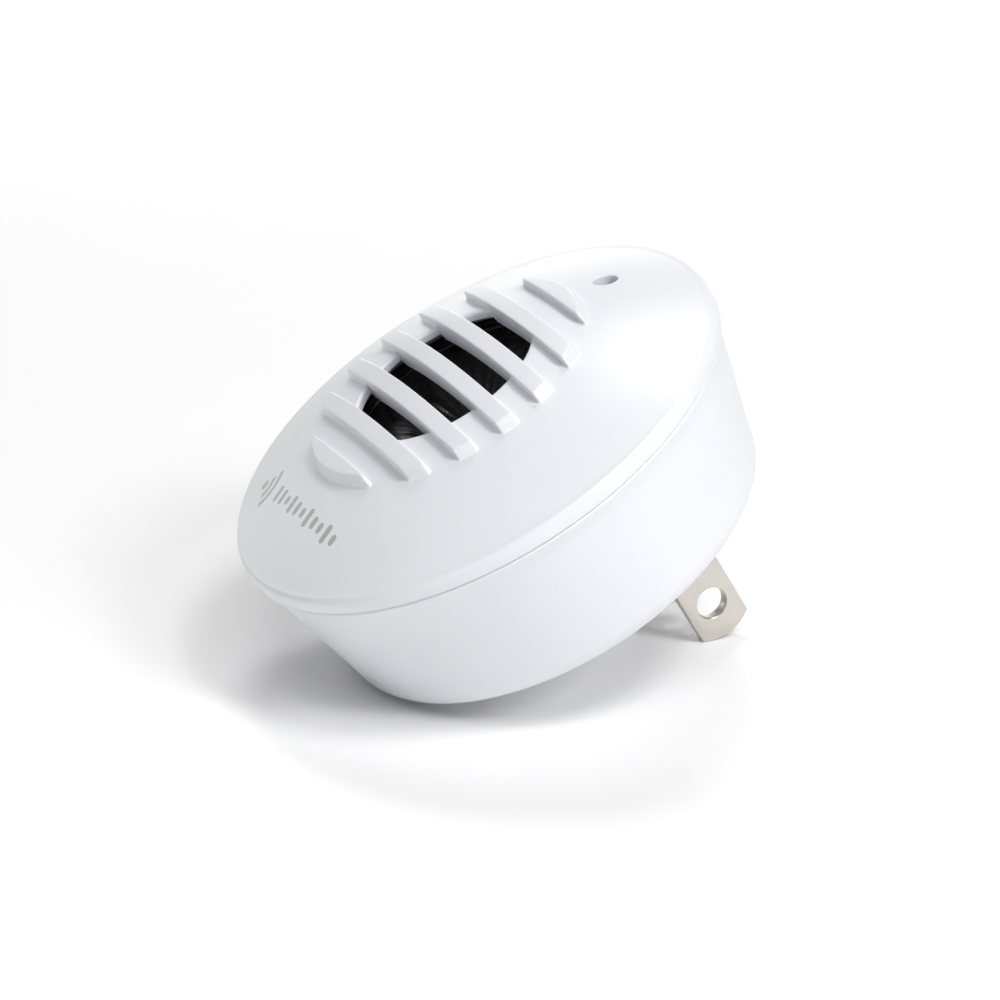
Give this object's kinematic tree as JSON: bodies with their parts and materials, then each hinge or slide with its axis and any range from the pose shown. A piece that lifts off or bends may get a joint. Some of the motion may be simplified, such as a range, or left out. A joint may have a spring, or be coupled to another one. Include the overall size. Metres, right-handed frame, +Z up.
{
  "type": "ultrasonic pest repeller",
  "caption": "Round plug-in ultrasonic pest repeller with a domed front cover, barred speaker grille, indicator hole and two flat plug blades, lying on a table.",
  "frame": {"origin": "centre of the footprint, on the table that the rear edge and the two blade tips stand on", "axes": "+Z up; +X along the grille bars, from the left blade to the right blade; +Y to the raised end with the indicator hole; the front leans about 28 degrees toward -Y"},
  "size_m": [0.06, 0.058, 0.0433],
  "materials": {
    "white_abs": "white ABS, faintly bluish, satin gloss",
    "nickel_blade": "nickel-plated brass, brushed",
    "screw_steel": "zinc-plated steel",
    "brass": "bare brass",
    "black_plastic": "black, moulded, glossy",
    "moulded_black": "black epoxy or nylon, matt",
    "black_rubber": "soft, matt",
    "piezo_ceramic": "fired lead zirconate titanate with silver face",
    "board_laminate": "paper-phenolic laminate",
    "led_epoxy": "red tinted clear epoxy",
    "tinned_lead": "tinned steel lead",
    "yellow_film": "polyester film box",
    "blue_coat": "blue sleeve or epoxy dip",
    "tan_coat": "tan lacquer",
    "green_coat": "green flameproof lacquer",
    "ferrite": "sintered ferrite",
    "copper_winding": "enamelled copper wire",
    "orange_glass": "glass diode body",
    "red_wire": "PVC insulation",
    "black_wire": "PVC insulation"
  },
  "bodies": {
    "casing": {"blade_left": "nickel_blade", "blade_retainer": "moulded_black", "blade_right": "nickel_blade", "board_screw_left": "screw_steel", "board_screw_right": "screw_steel", "case_screw_bottom": "screw_steel", "case_screw_left": "screw_steel", "case_screw_right": "screw_steel", "ceramic_capacitor_1": "tan_coat", "ceramic_capacitor_2": "tan_coat", "circuit_board": "board_laminate", "clamp_screw_left": "screw_steel", "clamp_screw_right": "screw_steel", "coil_core": "ferrite", "coil_winding": "copper_winding", "driver_transistor_1": "moulded_black", "driver_transistor_2": "moulded_black", "electrolytic_capacitor": "blue_coat", "film_capacitor": "yellow_film", "front_cover": "white_abs", "fuse_resistor": "green_coat", "led_lamp": "led_epoxy", "led_lead_anode": "tinned_lead", "led_lead_cathode": "tinned_lead", "mains_wire_left": "red_wire", "mains_wire_right": "black_wire", "oscillator_chip": "moulded_black", "rear_body": "white_abs", "rectifier_diode_1": "moulded_black", "rectifier_diode_2": "moulded_black", "rectifier_diode_3": "moulded_black", "rectifier_diode_4": "moulded_black", "resistor_1": "tan_coat", "resistor_2": "tan_coat", "resistor_3": "tan_coat", "resistor_4": "tan_coat", "retainer_screw_inner": "screw_steel", "retainer_screw_outer": "screw_steel", "speaker_clamp": "white_abs", "speaker_frame": "black_plastic", "speaker_surround": "black_rubber", "speaker_tab_left": "brass", "speaker_tab_right": "brass", "speaker_wire_black": "black_wire", "speaker_wire_red": "red_wire", "varistor": "blue_coat", "zener_diode": "orange_glass"},
    "diaphragm": {"speaker_cone": "black_plastic", "dust_cap": "black_plastic", "piezo_brass_disc": "brass", "piezo_ceramic_disc": "piezo_ceramic"}
  },
  "joints": [
    {"name": "diaphragm_travel", "type": "slide", "parent": "casing", "child": "diaphragm", "axis": [0, -0.4701, 0.8826], "range_m": [-0.0001, 0.0001], "stiffness_N_per_m": 800}
  ]
}
